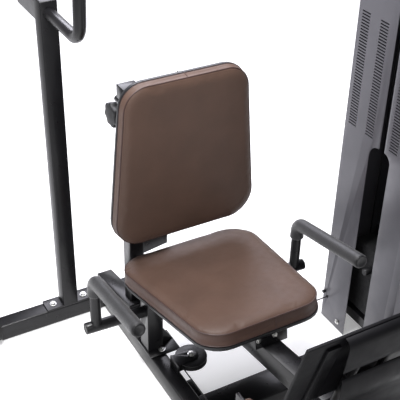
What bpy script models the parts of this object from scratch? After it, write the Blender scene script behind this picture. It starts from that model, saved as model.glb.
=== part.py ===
"""Hip abductor machine: seat, front pedestal with two leg levers, and weight tower.

Units are metres, +Z is up and the user faces -Y, so +X is on the user's left.
The origin is on the floor, under the front edge of the seat, on the seat's centre line.
"""
import math

import bmesh
import bpy
from mathutils import Matrix, Vector

GAP = 0.0003                  # clearance between touching pieces
TUBE = 0.060                  # width of the square frame tubes
FLOOR_TUBE_TOP = 0.068        # height of the cross tubes on the floor
RAIL_TOP = 0.075              # height of the long base rail
RAIL_X = -0.1895              # centre line of the base rail, outboard of the seat
RAIL_FRONT_Y = -0.078
REAR_Y = 0.694                # front face of the rear base tube
REAR_DEPTH = 0.062
UPRIGHT_X = -0.3595
UPRIGHT_TOP = 1.31

SEAT_TILT = math.radians(9.02)
SEAT_ORIGIN = Vector((0.0, -0.11, 0.431))   # front edge of the shell's underside
PAD_X = -0.010                # the pads sit slightly off the beam's centre line
SEAT_FRONT, SEAT_DEPTH = -0.045, 0.612      # front edge along the seat's slope, and depth
SEAT_FRONT_HALF, SEAT_REAR_HALF = 0.2231, 0.2777
SEAT_CORNERS = (0.099, 0.107)               # radii of the front and rear corners
SEAT_SHELL, SEAT_CUSHION = 0.0169, 0.0575
BEAM_WIDTH, BEAM_HEIGHT = 0.070, 0.076
BEAM_TOP_AT_SEAT = 0.393      # beam's top, below the seat's front edge
BEAM_REAR = 0.2960

BACK_ORIGIN = Vector((PAD_X, 0.402, 0.490))   # lower edge of the back pad's front face
BACK_HEIGHT = 0.610
BACK_LOW_HALF, BACK_TOP_HALF = 0.2845, 0.2300
BACK_CORNERS = (0.102, 0.088)
BACK_CUSHION, BACK_SHELL, BACK_PLATE = 0.040, 0.024, 0.005
COLUMN_LO, COLUMN_HI = (-0.2000, 0.480), (-0.1450, 0.535)
COLUMN_TOP, COLUMN_HEAD = 1.010, 1.056
SLIDE_BAR_Z = (0.620, 0.965)
SLIDE_BAR_R = 0.0125
BACK_TRAVEL = 0.060

HANDLE_X, HANDLE_Y, HANDLE_Z = 0.400, 0.330, 0.255
HANDLE_R, CROSS_R, GRIP_R = 0.019, 0.021, 0.025
CROSS_HALF = 0.438
GRIP_RISE, GRIP_REACH = math.radians(13.5), 0.383
HANDLE_YAW = math.radians(-3.0)   # the handle frame stands slightly turned on the seat post

PANEL_TOP, PANEL_TOP_Y = 0.825, -0.590      # top edge of the front plate
PANEL_SLOPE = 0.2996                        # the plate's lean: dy over dz
PANEL_HALF = 0.2115
PANEL_LOW = 0.520
PANEL_THICK = 0.012
COVER_LEFT = -0.100

SHAFT_X, SHAFT_Y, SHAFT_R = 0.075, -0.580, 0.012
SHAFT_LOW, SHAFT_HIGH = 0.080, 0.368        # plates at the ends of the lever shafts
CAM_R = 0.0825                # radius of the cable on the lever's cam
GEAR_R, GEAR_TEETH = 0.075, 30
ARM_Z = 0.300
ARM_OUT = 0.240
REST_Z = 0.145               # height of the foot rests, clear above the cable

PULLEY_R, PULLEY_WIDTH = 0.058, 0.022
GROOVE_R = 0.050              # radius of the cable's centre line on a small pulley
CABLE_R = 0.0025
CABLE_Z = 0.105
CABLE_Y = 0.235
GUIDE_PULLEY = Vector((-0.1075, CABLE_Y - GROOVE_R, CABLE_Z))

TOWER_X = 0.5275              # the tower's face towards the seat
TOWER_BACK = 0.930
TOWER_FRONT_Y, TOWER_REAR_Y = -0.1285, 0.2585
TOWER_TOP = 1.60
SHEET = 0.0025
SLIT = (0.043, 0.069)
WINDOW = (0.010, 0.115)
WINDOW_TOP = 0.860
STACK = Vector((0.700, 0.060, 0.0))
STACK_HALF = (0.130, 0.105)
STACK_BASE = 0.130
PLATE_THICK, PLATE_PITCH = 0.0220, 0.0225
LOWER_PLATES, LIFTED_PLATES = 9, 4
ROD_OFFSET, ROD_R = 0.075, 0.0125
BORE_R, BORE_DEPTH = 0.0036, 0.150   # the cable slides in this bore as the stack rises
TOWER_BEAM = (1.245, 1.290)
TOP_PULLEY_R = (CABLE_Y - 0.060) / 2
TOP_PULLEY_Z = 1.430

COLOURS = {
    "frame_black": ((0.012, 0.012, 0.014), 0.42, 0.55),
    "panel_black": ((0.022, 0.022, 0.026), 0.50, 0.45),
    "leather_brown": ((0.115, 0.046, 0.030), 0.48, 0.0),
    "shell_black": ((0.010, 0.010, 0.012), 0.60, 0.0),
    "foam_black": ((0.015, 0.015, 0.016), 0.85, 0.0),
    "rubber_black": ((0.012, 0.012, 0.012), 0.90, 0.0),
    "pulley_black": ((0.014, 0.014, 0.015), 0.45, 0.0),
    "knob_black": ((0.015, 0.015, 0.016), 0.35, 0.0),
    "zinc_bolt": ((0.62, 0.62, 0.60), 0.30, 1.0),
    "chrome_rod": ((0.75, 0.75, 0.76), 0.12, 1.0),
    "plate_iron": ((0.020, 0.020, 0.021), 0.65, 0.4),
    "cable_black": ((0.010, 0.010, 0.010), 0.40, 0.0),
}


def clear_scene():
    for obj in list(bpy.data.objects):
        bpy.data.objects.remove(obj, do_unlink=True)


def material(slot):
    found = bpy.data.materials.get(slot)
    if found:
        return found
    colour, roughness, metallic = COLOURS[slot]
    made = bpy.data.materials.new(slot)
    made.use_nodes = True
    shader = made.node_tree.nodes["Principled BSDF"]
    shader.inputs["Base Color"].default_value = (*colour, 1.0)
    shader.inputs["Roughness"].default_value = roughness
    shader.inputs["Metallic"].default_value = metallic
    return made


def make(name, bm, slot, pivot=(0, 0, 0), smooth=False):
    """Turn world-space geometry into a named object whose origin is at pivot."""
    bmesh.ops.recalc_face_normals(bm, faces=bm.faces)
    bmesh.ops.translate(bm, verts=bm.verts, vec=-Vector(pivot))
    mesh = bpy.data.meshes.new(name)
    bm.to_mesh(mesh)
    bm.free()
    if smooth:
        mesh.shade_smooth()
        mesh.set_sharp_from_angle(angle=math.radians(35))
    mesh.materials.append(material(slot))
    obj = bpy.data.objects.new(name, mesh)
    obj.location = pivot
    bpy.context.collection.objects.link(obj)
    return obj


def join(*parts):
    """Gather several cutting shapes into one mesh."""
    joined = bmesh.new()
    for part in parts:
        scratch = bpy.data.meshes.new("scratch")
        part.to_mesh(scratch)
        part.free()
        joined.from_mesh(scratch)
        bpy.data.meshes.remove(scratch)
    return joined


def soften(obj, width, segments=2):
    """Round the edges of a tube or plate."""
    bevel = obj.modifiers.new("rounded_edges", "BEVEL")
    bevel.width = width
    bevel.segments = segments
    bevel.limit_method = "ANGLE"
    bevel.angle_limit = math.radians(50)
    return obj


def box(lo, hi):
    bm = bmesh.new()
    bmesh.ops.create_cube(bm, size=1.0)
    lo, hi = Vector(lo), Vector(hi)
    for vert in bm.verts:
        vert.co = Vector((lo[i] + (vert.co[i] + 0.5) * (hi[i] - lo[i]) for i in range(3)))
    return bm


def aim(axis):
    """Rotation that carries +Z onto the named axis."""
    return Vector((0, 0, 1)).rotation_difference(Vector(axis).normalized()).to_matrix().to_4x4()


def lathe(profile, centre, axis=(0, 0, 1), sides=24):
    """Closed ring profile of (radius, height) points turned about an axis."""
    bm = bmesh.new()
    rings = []
    for radius, height in profile:
        if radius < 1e-6:
            rings.append([bm.verts.new((0, 0, height))])
            continue
        turns = [2 * math.pi * i / sides for i in range(sides)]
        rings.append([bm.verts.new((radius * math.cos(t), radius * math.sin(t), height)) for t in turns])
    for low, high in zip(rings, rings[1:] + rings[:1]):
        if len(low) == 1 and len(high) == 1:
            continue
        for i in range(sides):
            j = (i + 1) % sides
            corners = [low[i % len(low)], low[j % len(low)], high[j % len(high)], high[i % len(high)]]
            bm.faces.new(list(dict.fromkeys(corners)))
    bmesh.ops.transform(bm, verts=bm.verts, matrix=Matrix.Translation(Vector(centre)) @ aim(axis))
    return bm


def rod(centre, axis, radius, length, sides=16):
    half = length / 2
    return lathe([(0, -half), (radius, -half), (radius, half), (0, half)], centre, axis, sides)


def prism(outline, lo, hi, place=Matrix.Identity(4)):
    """Extrude a flat outline from height lo to hi, then place it."""
    bm = bmesh.new()
    low = [bm.verts.new((x, y, lo)) for x, y in outline]
    high = [bm.verts.new((x, y, hi)) for x, y in outline]
    bm.faces.new(low)
    bm.faces.new(high)
    for i in range(len(outline)):
        j = (i + 1) % len(outline)
        bm.faces.new([low[i], low[j], high[j], high[i]])
    bmesh.ops.transform(bm, verts=bm.verts, matrix=place)
    return bm


def side_profile(outline, x_lo, x_hi):
    """Extrude an outline of (y, z) points along X."""
    place = Matrix(((0, 0, 1, 0), (1, 0, 0, 0), (0, 1, 0, 0), (0, 0, 0, 1)))
    return prism(outline, x_lo, x_hi, place)


def arc(centre, radius, start, end, steps):
    """Points of a flat arc, angles in degrees."""
    turns = [math.radians(start + (end - start) * i / steps) for i in range(steps + 1)]
    return [(centre[0] + radius * math.cos(t), centre[1] + radius * math.sin(t)) for t in turns]


def rounded_trapezoid(low_half, high_half, length, radii, inset=0.0, steps=6):
    """Symmetric outline that runs from 0 to length, with four round corners."""
    low, high = low_half - inset, high_half - inset
    corners = [Vector((low, inset)), Vector((high, length - inset)),
               Vector((-high, length - inset)), Vector((-low, inset))]
    points = []
    for i, corner in enumerate(corners):
        radius = max(radii[0 if i in (0, 3) else 1] - inset, 0.01)
        before = (corners[i - 1] - corner).normalized()
        after = (corners[(i + 1) % 4] - corner).normalized()
        half = before.angle(after) / 2
        centre = corner + (before + after).normalized() * (radius / math.sin(half))
        start = corner + before * (radius / math.tan(half)) - centre
        sweep = math.pi - 2 * half
        for step in range(steps + 1):
            turned = Matrix.Rotation(sweep * step / steps, 2) @ start
            points.append(tuple(centre + turned))
    return points


def layered(outlines, heights, place):
    """Bridge equal outlines at rising heights into one closed solid."""
    bm = bmesh.new()
    rings = [[bm.verts.new((x, y, z)) for x, y in ring] for ring, z in zip(outlines, heights)]
    bm.faces.new(rings[0])
    bm.faces.new(rings[-1])
    count = len(rings[0])
    for low, high in zip(rings, rings[1:]):
        for i in range(count):
            j = (i + 1) % count
            bm.faces.new([low[i], low[j], high[j], high[i]])
    bmesh.ops.transform(bm, verts=bm.verts, matrix=place)
    return bm


def rounded_path(points, radius, steps=5):
    """Straight runs joined by round bends."""
    points = [Vector(p) for p in points]
    path = [points[0]]
    for before, corner, after in zip(points, points[1:], points[2:]):
        into, out = (before - corner).normalized(), (after - corner).normalized()
        half = into.angle(out) / 2
        reach = radius / math.tan(half)
        centre = corner + (into + out).normalized() * (radius / math.sin(half))
        start, end = corner + into * reach - centre, corner + out * reach - centre
        axis, turn = start.cross(end), start.angle(end)
        for step in range(steps + 1):
            path.append(centre + Matrix.Rotation(turn * step / steps, 3, axis) @ start)
    path.append(points[-1])
    return path


def sweep(path, radius, sides=14, inner=0.0, square=False):
    """Carry a round or square section along a path; inner makes a sleeve shut at its far end."""
    bm = bmesh.new()
    path = [Vector(p) for p in path]
    tangents = [(b - a).normalized() for a, b in zip(path, path[1:])]
    tangents = [tangents[0]] + [(a + b).normalized() for a, b in zip(tangents, tangents[1:])] + [tangents[-1]]
    up = Vector((1, 0, 0)) if abs(tangents[0].x) < 0.9 else Vector((0, 0, 1))
    normal = (up - tangents[0] * up.dot(tangents[0])).normalized()

    def ring(i, normal, size):
        side = tangents[i].cross(normal)
        around = [2 * math.pi * k / sides + (math.pi / 4 if square else 0) for k in range(sides)]
        return [bm.verts.new(path[i] + (normal * math.cos(t) + side * math.sin(t)) * size) for t in around]

    def skin(rings):
        for low, high in zip(rings, rings[1:]):
            for k in range(sides):
                j = (k + 1) % sides
                bm.faces.new([low[k], low[j], high[j], high[k]])

    outer, hollow = [], []
    for i, tangent in enumerate(tangents):
        if i:
            normal = (tangents[i - 1].rotation_difference(tangent) @ normal).normalized()
        outer.append(ring(i, normal, radius))
        if inner and i < len(tangents) - 1:
            hollow.append(ring(i, normal, inner))
    skin(outer)
    bm.faces.new(outer[-1])
    if inner:
        skin(hollow)
        skin([outer[0], hollow[0]])
        bm.faces.new(hollow[-1])
    else:
        bm.faces.new(outer[0])
    return bm


def bolt(point, axis, head_r=0.0095, head=0.007, washer_r=0.0135, washer=0.0018):
    """Hexagon head on its washer, standing on a face at point."""
    axis = Vector(axis).normalized()
    profile = [(0, GAP), (washer_r, GAP), (washer_r, washer), (head_r, washer), (head_r, head + washer),
               (0, head + washer)]
    return lathe(profile, point, axis, 12)


def cut(obj, cutter_bm, name):
    """Subtract a hidden cutter from a piece."""
    cutter = make(name, cutter_bm, "zinc_bolt")
    cutter.hide_render = True
    cutter.display_type = "WIRE"
    tool = obj.modifiers.new(name, "BOOLEAN")
    tool.operation = "DIFFERENCE"
    tool.solver = "EXACT"
    tool.object = cutter
    return obj


def weld(obj, bm, label, rounding=0.0):
    """Fuse another shape into a piece, as a weld bead would."""
    added = make(f"{obj.name}_{label}", bm, "zinc_bolt")
    if rounding:
        soften(added, rounding)
    added.hide_render = True
    added.display_type = "WIRE"
    bead = obj.modifiers.new(label, "BOOLEAN")
    bead.operation = "UNION"
    bead.solver = "EXACT"
    bead.object = added
    return obj


def panel_y(z):
    """Front face of the leaning plate at height z."""
    return PANEL_TOP_Y + (PANEL_TOP - z) * PANEL_SLOPE


def beam_top(y):
    return BEAM_TOP_AT_SEAT + (SEAT_ORIGIN.y - y) * math.tan(SEAT_TILT)


# ---------------------------------------------------------------- floor frame

# places an outline of (x, z), extruded along y
XZ_FLAT = Matrix(((1, 0, 0, 0), (0, 0, 1, 0), (0, 1, 0, 0), (0, 0, 0, 1)))


def floor_frame():
    tube = box((-0.6452, REAR_Y, 0), (0.30, REAR_Y + REAR_DEPTH, FLOOR_TUBE_TOP))
    soften(make("rear_base_tube", tube, "frame_black"), 0.005)
    foot = [(0, -0.015), (0.0545, -0.015), (0.0575, -0.012), (0.0575, 0.012), (0.0545, 0.015), (0, 0.015)]
    make("rear_base_foot", lathe(foot, (-0.6605, REAR_Y + REAR_DEPTH / 2, 0.0575), (1, 0, 0), 32),
         "rubber_black", smooth=True)
    rail = box((RAIL_X - TUBE / 2, RAIL_FRONT_Y, 0), (RAIL_X + TUBE / 2, REAR_Y - GAP, RAIL_TOP))
    soften(make("base_rail", rail, "frame_black"), 0.005)
    cross = box((RAIL_X + TUBE / 2 + GAP, -0.078, 0), (0.66, 0.042, FLOOR_TUBE_TOP))
    soften(make("cross_rail", cross, "frame_black"), 0.005)
    front = box((-TUBE / 2, -0.640, 0), (TUBE / 2, -0.078 - GAP, FLOOR_TUBE_TOP))
    base = soften(make("front_base_frame", front, "frame_black"), 0.005)
    weld(base, box((-0.30, -0.6803, 0), (0.30, -0.6203, FLOOR_TUBE_TOP)), "foot", 0.005)


def left_station():
    """Upright on the rear tube with its curved handle and rearward arm."""
    lo_x, hi_x = UPRIGHT_X - TUBE / 2, UPRIGHT_X + TUBE / 2
    plate_top = 0.0763
    upright = box((lo_x, REAR_Y, FLOOR_TUBE_TOP + GAP), (hi_x, REAR_Y + 0.058, UPRIGHT_TOP))
    upright = soften(make("left_upright", upright, "frame_black"), 0.005)
    plate = box((-0.455, REAR_Y - 0.0005, FLOOR_TUBE_TOP + GAP), (-0.265, REAR_Y + REAR_DEPTH, plate_top))
    weld(upright, plate, "plate")
    weld(upright, box((lo_x + 0.001, REAR_Y + 0.040, 1.235), (hi_x - 0.001, REAR_Y + 0.22, 1.295)), "arm")
    for side, x in (("outer", -0.423), ("inner", -0.298)):
        make(f"upright_bolt_{side}", bolt((x, REAR_Y + 0.028, plate_top), (0, 0, 1)), "zinc_bolt")
    path = rounded_path([(UPRIGHT_X, REAR_Y - GAP, 1.270), (UPRIGHT_X, 0.445, 1.270),
                         (UPRIGHT_X, 0.425, 1.520)], 0.060)
    make("upright_handle", sweep(path, 0.020), "frame_black", smooth=True)


def seat_support():
    """Post and cross tube that carry the tilted beam under the seat."""
    post_lo, post_hi = (RAIL_X - TUBE / 2, 0.302), (RAIL_X + TUBE / 2, 0.362)
    foot_top = RAIL_TOP + 0.008
    post = make("seat_post", box((*post_lo, RAIL_TOP + GAP), (*post_hi, 0.345)), "frame_black")
    foot = box((RAIL_X - 0.035, 0.270, RAIL_TOP + GAP), (RAIL_X + 0.085, 0.380, foot_top))
    weld(post, foot, "foot")
    gusset = prism([(post_hi[0] - 0.004, RAIL_TOP + 0.004), (RAIL_X + 0.083, RAIL_TOP + 0.004),
                    (RAIL_X + 0.083, foot_top + 0.003), (post_hi[0] + 0.003, 0.165), (post_hi[0] - 0.004, 0.165)],
                   0.328, 0.334, XZ_FLAT)
    weld(post, gusset, "gusset")
    cut(post, turned(rod((RAIL_X, HANDLE_Y, HANDLE_Z), (1, 0, 0), CROSS_R + 0.0006, 0.10, 20)), "cutter_post")
    cross = box((post_hi[0] + GAP, 0.2965, 0.283), (BEAM_WIDTH / 2, 0.362, 0.3165))
    soften(make("seat_cross_tube", cross, "frame_black"), 0.004)

    low = BEAM_HEIGHT / math.cos(SEAT_TILT)
    meeting = 1 - PANEL_SLOPE * math.tan(SEAT_TILT)
    ends = [(PANEL_TOP_Y + (PANEL_TOP - beam_top(0) + drop) * PANEL_SLOPE) / meeting + PANEL_THICK + GAP
            for drop in (0, low)]
    outline = [(BEAM_REAR, beam_top(BEAM_REAR) - low), (BEAM_REAR, beam_top(BEAM_REAR)),
               (ends[0], beam_top(ends[0])), (ends[1], beam_top(ends[1]) - low)]
    beam = make("seat_beam", side_profile(outline, -BEAM_WIDTH / 2, BEAM_WIDTH / 2), "frame_black")
    soften(beam, 0.006)
    under = (BEAM_TOP_AT_SEAT - SEAT_ORIGIN.z) * math.cos(SEAT_TILT)
    for label, at in (("front_bracket", -0.030), ("rear_bracket", 0.335)):
        block = box((-0.060, at, under - 0.003), (0.060, at + 0.055, -GAP))
        bmesh.ops.transform(block, verts=block.verts, matrix=seat_frame())
        weld(beam, block, label)


def rear_support():
    """Sloping brace behind the seat, and the column that carries the backrest."""
    slope = math.tan(math.radians(10.8))
    start, end = 0.456, REAR_Y + REAR_DEPTH
    top = 0.186
    rest = FLOOR_TUBE_TOP + GAP
    outline = [(start, top - 0.062), (start, top), (end, top - (end - start) * slope), (end, rest),
               (REAR_Y - 0.004, rest + 0.0075)]
    brace = make("rear_brace_tube", side_profile(outline, RAIL_X - TUBE / 2, RAIL_X + TUBE / 2), "frame_black")
    weld(brace, box((RAIL_X - 0.026, 0.490, RAIL_TOP + GAP), (RAIL_X + 0.026, 0.545, 0.140)), "prop")
    hollow = box((RAIL_X - 0.0262, 0.40, top - 0.0585), (RAIL_X + 0.0262, 0.477, top - 0.0085))
    cut(brace, hollow, "cutter_brace")
    rests = [top - (y - start) * slope + GAP for y in (COLUMN_LO[1], COLUMN_HI[1])]
    column_outline = [(COLUMN_LO[1], rests[0]), (COLUMN_HI[1], rests[1]),
                      (COLUMN_HI[1], COLUMN_TOP), (COLUMN_LO[1], COLUMN_TOP)]
    column = make("back_column", side_profile(column_outline, COLUMN_LO[0], COLUMN_HI[0]), "frame_black")
    head = box((COLUMN_LO[0] - 0.006, COLUMN_LO[1] - 0.004, COLUMN_TOP - 0.003),
               (COLUMN_HI[0] + 0.005, COLUMN_HI[1] + 0.008, COLUMN_HEAD))
    weld(column, head, "head", 0.003)
    bracket = prism([(COLUMN_HI[0] - 0.003, 0.385), (-0.0475, 0.400), (-0.0475, 0.490),
                     (COLUMN_HI[0] - 0.003, 0.505)], 0.4845, 0.4905, XZ_FLAT)
    weld(column, bracket, "bracket")
    mid_x = (COLUMN_LO[0] + COLUMN_HI[0]) / 2
    holes = [rod((mid_x, 0.51, z), (0, 1, 0), SLIDE_BAR_R + 0.0005, 0.12, 20) for z in SLIDE_BAR_Z]
    cut(column, join(*holes), "cutter_column")


# ---------------------------------------------------------------- seat, backrest and handles

def seat_frame():
    """Axes across, along and normal to the seat."""
    return Matrix.Translation(SEAT_ORIGIN) @ Matrix.Rotation(-SEAT_TILT, 4, "X")


def seat():
    place = seat_frame() @ Matrix.Translation((PAD_X, SEAT_FRONT, 0))
    size = (SEAT_FRONT_HALF, SEAT_REAR_HALF, SEAT_DEPTH, SEAT_CORNERS)
    shell = [rounded_trapezoid(*size, inset=i) for i in (0.010, 0.002, 0.002)]
    make("seat_shell", layered(shell, (0.0, 0.007, SEAT_SHELL), place), "shell_black", smooth=True)
    bottom = SEAT_SHELL + GAP
    levels = [(0.002, bottom), (0.0, bottom + 0.006), (0.0, bottom + 0.042), (0.008, bottom + 0.052),
              (0.030, bottom + SEAT_CUSHION)]
    pad = layered([rounded_trapezoid(*size, inset=i) for i, _ in levels], [z for _, z in levels], place)
    make("seat_pad", pad, "leather_brown", smooth=True)


def backrest():
    """Pad, shell and mounting plate move together, sliding on two bars."""
    upright = Matrix.Translation(BACK_ORIGIN) @ Matrix.Rotation(math.pi / 2, 4, "X")
    size = (BACK_LOW_HALF, BACK_TOP_HALF, BACK_HEIGHT, BACK_CORNERS)
    pivot = BACK_ORIGIN
    depth = BACK_CUSHION
    levels = [(0.002, -depth), (0.0, -depth + 0.005), (0.0, -0.012), (0.008, -0.004), (0.028, 0.0)]
    pad = layered([rounded_trapezoid(*size, inset=i) for i, _ in levels], [z for _, z in levels], upright)
    make("back_pad", pad, "leather_brown", pivot, smooth=True)
    shell = [rounded_trapezoid(*size, inset=i) for i in (0.010, 0.004, 0.001)]
    heights = (-depth - BACK_SHELL, -depth - BACK_SHELL + 0.008, -depth - GAP)
    make("back_shell", layered(shell, heights, upright), "shell_black", pivot, smooth=True)
    plate_z = -depth - BACK_SHELL - GAP
    corners = [(-0.205, 0.09), (0.13, 0.09), (0.13, 0.515), (-0.205, 0.515)]
    plate = prism(corners, plate_z - BACK_PLATE, plate_z, upright)
    carriage = make("back_slide_carriage", plate, "frame_black", pivot)
    mid_x = (COLUMN_LO[0] + COLUMN_HI[0]) / 2
    for i, z in enumerate(SLIDE_BAR_Z):
        inside = BACK_ORIGIN.y + depth + BACK_SHELL + 0.003
        length = 0.610 - inside
        weld(carriage, rod((mid_x, inside + length / 2, z), (0, 1, 0), SLIDE_BAR_R, length, 16), f"bar_{i}")


def clamp_knob():
    """Lobed hand knob on the side of the column, with its clamping screw."""
    z = SLIDE_BAR_Z[1]
    centre = Vector((-0.232, 0.5120, z))
    lobes, steps = 7, 8
    outline = []
    for i in range(lobes * steps):
        turn = 2 * math.pi * i / (lobes * steps)
        reach = 0.0405 + 0.0035 * math.cos(lobes * turn)
        outline.append((reach * math.cos(turn), reach * math.sin(turn)))
    place = Matrix.Translation(centre) @ aim((-1, 0, 0))
    rings = [[(x * s, y * s) for x, y in outline] for s in (0.93, 1.0, 1.0, 0.90)]
    head = layered(rings, (-0.013, -0.009, 0.009, 0.014), place)
    knob = make("clamp_knob", head, "knob_black", centre, smooth=True)
    screw = lathe([(0, -0.006), (0.008, -0.006), (0.008, 0.0317), (0, 0.0317)], centre, (1, 0, 0), 16)
    weld(knob, screw, "screw")


def handle_turn():
    """The handle frame's small turn about the seat post."""
    post = Matrix.Translation((RAIL_X, HANDLE_Y, 0))
    return post @ Matrix.Rotation(HANDLE_YAW, 4, "Z") @ post.inverted()


def turned(bm):
    bmesh.ops.transform(bm, verts=bm.verts, matrix=handle_turn())
    return bm


def handles():
    """Cross tube with a handle welded to each end, and the two foam grips."""
    tube = rod((0, HANDLE_Y, HANDLE_Z), (1, 0, 0), CROSS_R, 2 * CROSS_HALF, 20)
    frame = make("handle_frame", turned(tube), "frame_black", smooth=True)
    bend_z = 0.458
    for side, s in (("right", -1), ("left", 1)):
        foot = (s * HANDLE_X, HANDLE_Y, HANDLE_Z + 0.004)
        corner = (s * HANDLE_X, HANDLE_Y, bend_z)
        tip = (s * HANDLE_X, HANDLE_Y - GRIP_REACH, bend_z + GRIP_REACH * math.tan(GRIP_RISE))
        path = rounded_path([foot, corner, tip], 0.045, 5)
        weld(frame, turned(sweep(path, HANDLE_R, 14)), f"{side}_handle")
        start = Vector((s * HANDLE_X, HANDLE_Y, 0.395))
        along = (path[-1] - path[-2]).normalized()
        cover = [start] + path[1:] + [path[-1] + along * 0.0008, path[-1] + along * 0.006]
        grip = turned(sweep(cover, GRIP_R, 18, inner=HANDLE_R + 0.0006))
        make(f"{side}_grip", grip, "foam_black", smooth=True)


# ---------------------------------------------------------------- front pedestal and leg levers

def pedestal():
    """Leaning post with the two plates that hold the lever shafts, and the plate it carries."""
    top = 0.715
    rest = FLOOR_TUBE_TOP + GAP
    post = [(panel_y(rest) - GAP, rest), (panel_y(top) - GAP, top), (panel_y(top) - 0.040, top),
            (panel_y(rest) - 0.040, rest)]
    post = soften(make("front_post", side_profile(post, -TUBE / 2, TUBE / 2), "frame_black"), 0.004)
    for label, z in (("lower_plate", SHAFT_LOW), ("upper_plate", SHAFT_HIGH)):
        plate = box((-0.115, SHAFT_Y - 0.045, z - 0.004), (0.115, panel_y(z) - 0.020, z + 0.004))
        weld(post, plate, label)
    plate = [(panel_y(PANEL_LOW), PANEL_LOW), (panel_y(PANEL_TOP), PANEL_TOP),
             (panel_y(PANEL_TOP) + PANEL_THICK, PANEL_TOP), (panel_y(PANEL_LOW) + PANEL_THICK, PANEL_LOW)]
    soften(make("front_plate", side_profile(plate, -PANEL_HALF, PANEL_HALF), "panel_black"), 0.003)
    for side, s in (("right", -1), ("left", 1)):
        lo_x, hi_x = sorted((s * 0.106, s * 0.150))
        strut = [(panel_y(0.545) - GAP, 0.545), (panel_y(0.800) - GAP, 0.800),
                 (panel_y(0.800) - 0.010, 0.800), (panel_y(0.545) - 0.010, 0.545)]
        make(f"plate_strut_{side}", side_profile(strut, lo_x, hi_x), "frame_black")
    for s, side in ((-1, "right"), (1, "left")):
        low, high = SHAFT_LOW + 0.004 + GAP, SHAFT_HIGH - 0.004 - GAP
        shaft = rod((s * SHAFT_X, SHAFT_Y, (low + high) / 2), (0, 0, 1), SHAFT_R, high - low, 20)
        make(f"pivot_shaft_{side}", shaft, "chrome_rod", smooth=True)


def folded_sheet(points, thickness):
    """Outline of a bent sheet that follows (y, z) points."""
    points = [Vector(p) for p in points]
    inner = []
    for i, point in enumerate(points):
        before = (point - points[max(i - 1, 0)])
        after = (points[min(i + 1, len(points) - 1)] - point)
        direction = (before.normalized() if before.length else Vector((0, 0))) \
            + (after.normalized() if after.length else Vector((0, 0)))
        direction.normalize()
        inner.append(point + Vector((-direction.y, direction.x)) * thickness)
    return [tuple(p) for p in points] + [tuple(p) for p in reversed(inner)]


def covers():
    """Two bent sheets that hide the post and its links, with a narrow gap between them."""
    x_lo, x_hi = COVER_LEFT, PANEL_HALF
    face, top = -0.6155, PANEL_TOP
    upper = [(panel_y(top) - 0.0025, top), (face + 0.009, top - 0.002), (face + 0.003, top - 0.007),
             (face, top - 0.016), (face, top - 0.029), (face + 0.008, top - 0.096),
             (face + 0.0125, top - 0.116)]
    lower = [(face + 0.013, top - 0.138), (face + 0.009, top - 0.146), (face + 0.010, top - 0.200),
             (face + 0.018, top - 0.236), (face + 0.040, top - 0.262), (face + 0.048, top - 0.300),
             (face + 0.050, top - 0.390)]
    for name, profile, stay_z, front in (("upper_front_cover", upper, 0.770, face + 0.0050),
                                         ("lower_front_cover", lower, 0.645, face + 0.0110)):
        cover = make(name, side_profile(folded_sheet(profile, 0.003), x_lo, x_hi), "panel_black")
        for i, x in enumerate((0.160, 0.205)):
            back = panel_y(stay_z + 0.012) - GAP
            stay = box((x - 0.002, front, stay_z - 0.012), (x + 0.002, back, stay_z + 0.012))
            weld(cover, stay, f"stay_{i}")


def gear_outline(radius, teeth, turn, first, last):
    """Involute sector gear between the angles first and last, the rest left at the root circle."""
    module = 2 * radius / teeth
    tip, root = radius + 0.9 * module, radius - 1.2 * module
    base = radius * math.cos(math.radians(20))
    involute = lambda r: math.tan(math.acos(min(base / r, 1))) - math.acos(min(base / r, 1))
    half = math.pi / (2 * teeth) + involute(radius) - 0.0022
    points = []
    for tooth in range(teeth):
        mid = turn + 2 * math.pi * tooth / teeth
        angle = (mid - first + math.pi) % (2 * math.pi) - math.pi
        width = (last - first) % (2 * math.pi)
        inside = 0 <= (mid - first) % (2 * math.pi) <= width
        if not inside:
            points.append((root * math.cos(mid), root * math.sin(mid)))
            continue
        flank = [(root, half - involute(max(root, base)) + 0.012)]
        for r in (base + 0.0002, radius, tip):
            flank.append((r, half - involute(r)))
        for r, offset in flank:
            points.append((r * math.cos(mid - offset), r * math.sin(mid - offset)))
        for r, offset in reversed(flank):
            points.append((r * math.cos(mid + offset), r * math.sin(mid + offset)))
    return points


def ring_prism(outline, bore, lo, hi, centre, sides=24):
    """Flat plate with a round bore, built from an outline about its centre."""
    bm = bmesh.new()
    outer, inner = [], []
    for x, y in outline:
        turn = math.atan2(y, x)
        outer.append([bm.verts.new((x, y, z)) for z in (lo, hi)])
        inner.append([bm.verts.new((bore * math.cos(turn), bore * math.sin(turn), z)) for z in (lo, hi)])
    count = len(outline)
    for i in range(count):
        j = (i + 1) % count
        bm.faces.new([outer[i][0], outer[j][0], outer[j][1], outer[i][1]])
        bm.faces.new([inner[j][0], inner[i][0], inner[i][1], inner[j][1]])
        bm.faces.new([outer[i][1], outer[j][1], inner[j][1], inner[i][1]])
        bm.faces.new([outer[j][0], outer[i][0], inner[i][0], inner[j][0]])
    bmesh.ops.translate(bm, verts=bm.verts, vec=Vector(centre))
    return bm


def grooved(outer, groove, width, bore, centre, axis, sides=32):
    """Pulley with a cable groove and a bore."""
    half = width / 2
    profile = [(bore, -half), (outer, -half), (outer, -half + 0.003), (groove, -0.0035), (groove, 0.0035),
               (outer, half - 0.003), (outer, half), (bore, half)]
    return lathe(profile, centre, axis, sides)


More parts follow.
